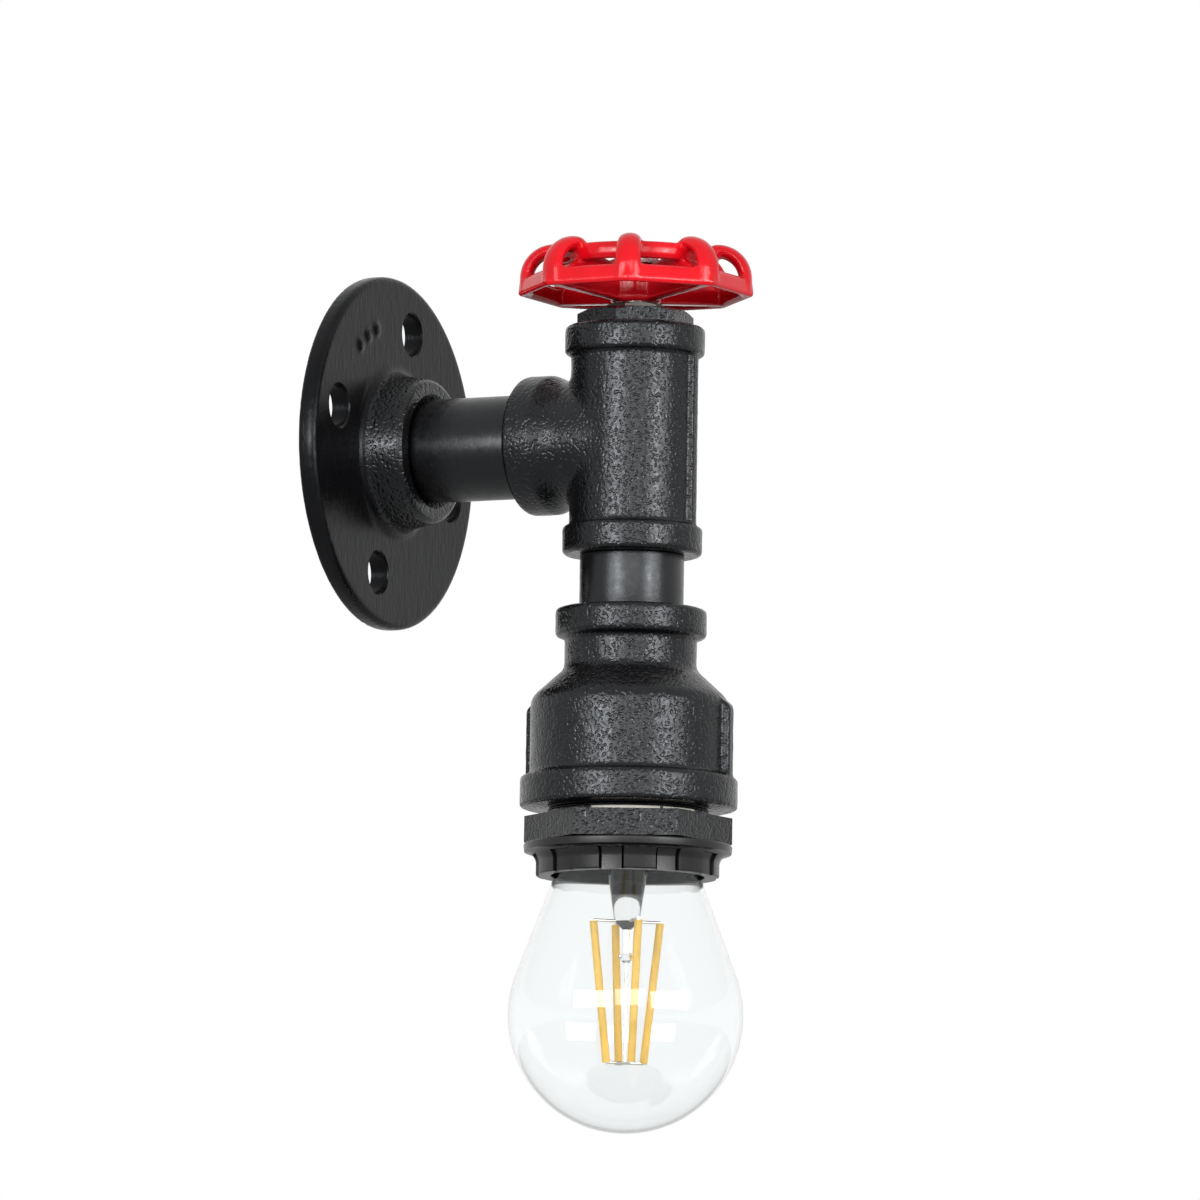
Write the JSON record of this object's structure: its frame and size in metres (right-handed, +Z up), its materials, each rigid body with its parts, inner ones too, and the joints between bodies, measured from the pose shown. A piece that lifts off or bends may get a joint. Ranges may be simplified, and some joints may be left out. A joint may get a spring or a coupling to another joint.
{
  "type": "pipe wall light",
  "caption": "Wall light built from black pipe fittings on a round wall flange, with a red valve handwheel that turns its switch and a clear screw-in bulb pointing down.",
  "frame": {"origin": "centre of the wall flange's back face, on the wall", "axes": "+Y towards the wall, so the arm runs along -Y; +Z up along the stack of fittings; +X completes a right-handed frame"},
  "size_m": [0.0912, 0.1033, 0.2285],
  "materials": {
    "black_iron": "black enamel over cast iron, semi-gloss, fine casting texture",
    "black_pipe": "black enamel over steel pipe, semi-gloss",
    "red_enamel": "glossy red enamel over cast iron",
    "bright_steel": "zinc-plated, bright",
    "brass": "plain brass",
    "copper": "bare copper wire",
    "black_moulding": "black phenolic moulding, glossy",
    "switch_moulding": "dark switch moulding",
    "rotor_moulding": "pale moulding",
    "ceramic": "glazed white ceramic, opaque",
    "vitrite": "black glass insulator, opaque",
    "clear_glass": "clear glass",
    "cap_metal": "rolled cap, bright",
    "shell_metal": "nickel-plated brass",
    "filament_coat": "yellow filament coating",
    "brown_wire": "brown insulation",
    "blue_wire": "blue insulation",
    "green_wire": "green and yellow insulation"
  },
  "bodies": {
    "fixture": {"arm_nipple": "black_pipe", "bush_nuts": "bright_steel", "centre_contact": "brass", "contact_block": "ceramic", "detent_spring": "bright_steel", "drop_nipple": "black_pipe", "earth_lead": "green_wire", "earth_lug": "brass", "holder_body": "black_moulding", "holder_cap": "black_moulding", "holder_locknut": "black_moulding", "lamp_bushing": "black_iron", "lead_ends": "copper", "live_lead": "brown_wire", "live_terminal": "brass", "neutral_lead": "blue_wire", "neutral_terminal": "brass", "reducer": "black_iron", "screw_shell": "shell_metal", "shade_ring": "black_moulding", "shell_rivet": "brass", "switch_bush": "shell_metal", "switch_case": "switch_moulding", "switch_cover": "bright_steel", "switch_posts": "brass", "switched_lead": "brown_wire", "tee": "black_iron", "terminal_screws": "bright_steel", "top_bushing": "black_iron", "wall_flange": "black_iron"},
    "handwheel": {"handwheel": "red_enamel", "wheel_washer": "bright_steel", "wheel_nut": "bright_steel", "switch_shaft": "bright_steel", "switch_rotor": "rotor_moulding", "rotor_bridge": "brass"},
    "bulb": {"bulb_glass": "clear_glass", "bulb_cap": "cap_metal", "bulb_insulator": "vitrite", "bulb_contact": "brass", "glass_stem": "clear_glass", "filament_supports": "bright_steel", "filaments": "filament_coat"}
  },
  "joints": [
    {"name": "handwheel_turn", "type": "hinge", "parent": "fixture", "child": "handwheel", "pos_m": [0, -0.0733, 0.0373], "axis": [0, 0, 1], "continuous": true},
    {"name": "bulb_out", "type": "slide", "parent": "fixture", "child": "bulb", "axis": [0, 0, -1], "range_m": [0, 0.045]}
  ]
}
